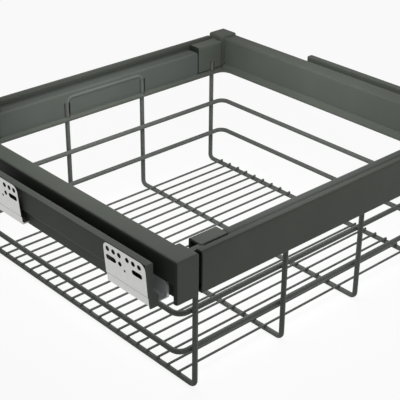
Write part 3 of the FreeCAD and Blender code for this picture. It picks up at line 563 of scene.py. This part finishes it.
class BASKET_OT_plate_slides(bpy.types.Operator):
    """Zinc plate on the slide members and ball cages"""

    bl_idname = "basket.plate_slides"
    bl_label = "Plate the slides"

    def execute(self, context):
        colour = tuple(context.scene.basket_colours.slide)
        member = zinc_plate("bright_zinc_slide", colour, roughness=0.45)
        cage = zinc_plate("bright_zinc_cage", shade(colour, 0.9), roughness=0.3)
        dress(("runner_left", "runner_right", "slide_middle", "slide_fixed"), member)
        dress(("outer_ball_cage", "inner_ball_cage"), cage)
        return {"FINISHED"}


class BASKET_OT_galvanise_brackets(bpy.types.Operator):
    """Galvanised sheet on the wall brackets"""

    bl_idname = "basket.galvanise_brackets"
    bl_label = "Galvanise the brackets"

    def execute(self, context):
        colours = context.scene.basket_colours
        sheet = galvanised_sheet("galvanised_sheet_bracket", tuple(colours.bracket), tuple(colours.edge))
        dress(("wall_bracket",), sheet)
        return {"FINISHED"}


class BASKET_OT_set_stage(bpy.types.Operator):
    """Pale floor, soft light and a camera at the viewing angle"""

    bl_idname = "basket.set_stage"
    bl_label = "Set the stage"

    def execute(self, context):
        scene = context.scene
        stage = scene.basket_stage
        self.lay_floor(scene, tuple(stage.floor))
        self.light_room(scene)
        self.hang_lamps(scene)
        self.place_camera(scene, stage)
        scene.view_settings.view_transform = "Standard"
        return {"FINISHED"}

    def lay_floor(self, scene, colour):
        """A pale sheet of paper just under the wires, almost white to the eye, that keeps a faint shadow."""
        half = 4.0
        level = -0.5 * MM
        whiteness = 0.9
        corners = [(-half, -half, level), (half, -half, level), (half, half, level), (-half, half, level)]
        mesh = bpy.data.meshes.new("floor")
        mesh.from_pydata(corners, [], [(0, 1, 2, 3)])
        floor = bpy.data.objects.new("floor", mesh)
        scene.collection.objects.link(floor)
        material, tree, _ = new_material("pale_paper_floor")
        share = add(tree, "ShaderNodeMath", {0: seen_or_mirrored(tree), 1: whiteness}, operation="MULTIPLY")
        paper = add(tree, "ShaderNodeBsdfDiffuse", {"Color": shade(colour)})
        glow = add(tree, "ShaderNodeEmission", {"Color": WHITE, "Strength": 1.0})
        mix = add(tree, "ShaderNodeMixShader", {0: share.outputs[0], 1: paper.outputs[0], 2: glow.outputs[0]})
        add(tree, "ShaderNodeOutputMaterial", {"Surface": mix.outputs[0]})
        mesh.materials.append(material)

    def light_room(self, scene):
        """A white room that gives less light from the left than from the right."""
        left = 0.33
        right = 0.6
        world = bpy.data.worlds.new("white_room")
        world.use_nodes = True
        tree = world.node_tree
        tree.nodes.clear()
        way = add(tree, "ShaderNodeTexCoord").outputs["Generated"]
        across = add(tree, "ShaderNodeSeparateXYZ", {"Vector": way}).outputs["X"]
        soft = add(tree, "ShaderNodeMapRange", {
            "Value": across, "From Min": -1.0, "To Min": left, "To Max": right})
        strength = add(tree, "ShaderNodeMix", {
            "Factor": seen_or_mirrored(tree), "A": soft.outputs["Result"], "B": 1.0}).outputs["Result"]
        glow = add(tree, "ShaderNodeBackground", {"Color": WHITE, "Strength": strength})
        add(tree, "ShaderNodeOutputWorld", {"Surface": glow.outputs[0]})
        scene.world = world

    def hang_lamps(self, scene):
        """Round soft lamps, each with its place, what it points at, its size and its power in watts."""
        lamps = (
            ("hanging_panel", (0.0, 0.0, 0.345), (0.0, 0.0, 0.1), 0.4, 1.1),
            ("left_panel", (-0.12, 0.0, 0.31), (0.25, 0.0, 0.16), 0.4, 0.38),
            ("right_panel", (0.8, -0.75, 0.25), (0.2, -0.24, 0.1), 0.5, 1.5),
        )
        for name, place, aim, size, power in lamps:
            lamp = bpy.data.lights.new(name, "AREA")
            lamp.shape = "DISK"
            lamp.size = size
            lamp.energy = power
            panel = bpy.data.objects.new(name, lamp)
            panel.location = place
            panel.rotation_euler = (Vector(aim) - Vector(place)).to_track_quat("-Z", "Y").to_euler()
            panel.visible_camera = False
            scene.collection.objects.link(panel)

    def place_camera(self, scene, stage):
        """A camera that looks against the way given by its azimuth and elevation, then rolled."""
        level = math.cos(stage.elevation)
        back = Vector((
            math.sin(stage.azimuth) * level, -math.cos(stage.azimuth) * level, math.sin(stage.elevation)))
        right = (-back).cross(Vector((0, 0, 1))).normalized()
        up = back.cross(right)
        turned_right = right * math.cos(stage.roll) + up * math.sin(stage.roll)
        turned_up = up * math.cos(stage.roll) - right * math.sin(stage.roll)
        data = bpy.data.cameras.new("camera")
        data.sensor_width = 36
        data.lens = stage.lens
        camera = bpy.data.objects.new("camera", data)
        turn = Matrix((turned_right, turned_up, back)).transposed()
        camera.matrix_world = Matrix.Translation(stage.camera) @ turn.to_4x4()
        scene.collection.objects.link(camera)
        scene.camera = camera


class BASKET_PT_pieces(bpy.types.Panel):
    """Lists the steps, the colours, the trim and the stage"""

    bl_idname = "BASKET_PT_pieces"
    bl_label = "Pull-out basket"
    bl_space_type = "VIEW_3D"
    bl_region_type = "UI"
    bl_category = "Basket"

    def draw(self, context):
        scene = context.scene
        layout = self.layout
        for step in STEPS:
            layout.operator(step.bl_idname)
        for group in (scene.basket_colours, scene.basket_trim, scene.basket_stage):
            for name in group.__annotations__:
                layout.prop(group, name)


STEPS = (
    BASKET_OT_coat_rails,
    BASKET_OT_coat_wires,
    BASKET_OT_weld_wires,
    BASKET_OT_close_hems,
    BASKET_OT_mould_corners,
    BASKET_OT_plate_slides,
    BASKET_OT_galvanise_brackets,
    BASKET_OT_set_stage,
)
CLASSES = (BasketColours, BasketTrim, BasketStage, *STEPS, BASKET_PT_pieces)


def register():
    for cls in CLASSES:
        bpy.utils.register_class(cls)
    bpy.types.Scene.basket_colours = PointerProperty(type=BasketColours)
    bpy.types.Scene.basket_trim = PointerProperty(type=BasketTrim)
    bpy.types.Scene.basket_stage = PointerProperty(type=BasketStage)


def unregister():
    del bpy.types.Scene.basket_stage
    del bpy.types.Scene.basket_trim
    del bpy.types.Scene.basket_colours
    for cls in reversed(CLASSES):
        bpy.utils.unregister_class(cls)


def main():
    register()
    bpy.ops.basket.coat_rails()
    bpy.ops.basket.coat_wires()
    bpy.ops.basket.weld_wires()
    bpy.ops.basket.close_hems()
    bpy.ops.basket.mould_corners()
    bpy.ops.basket.plate_slides()
    bpy.ops.basket.galvanise_brackets()
    bpy.ops.basket.set_stage()


if __name__ == "__main__":
    main()
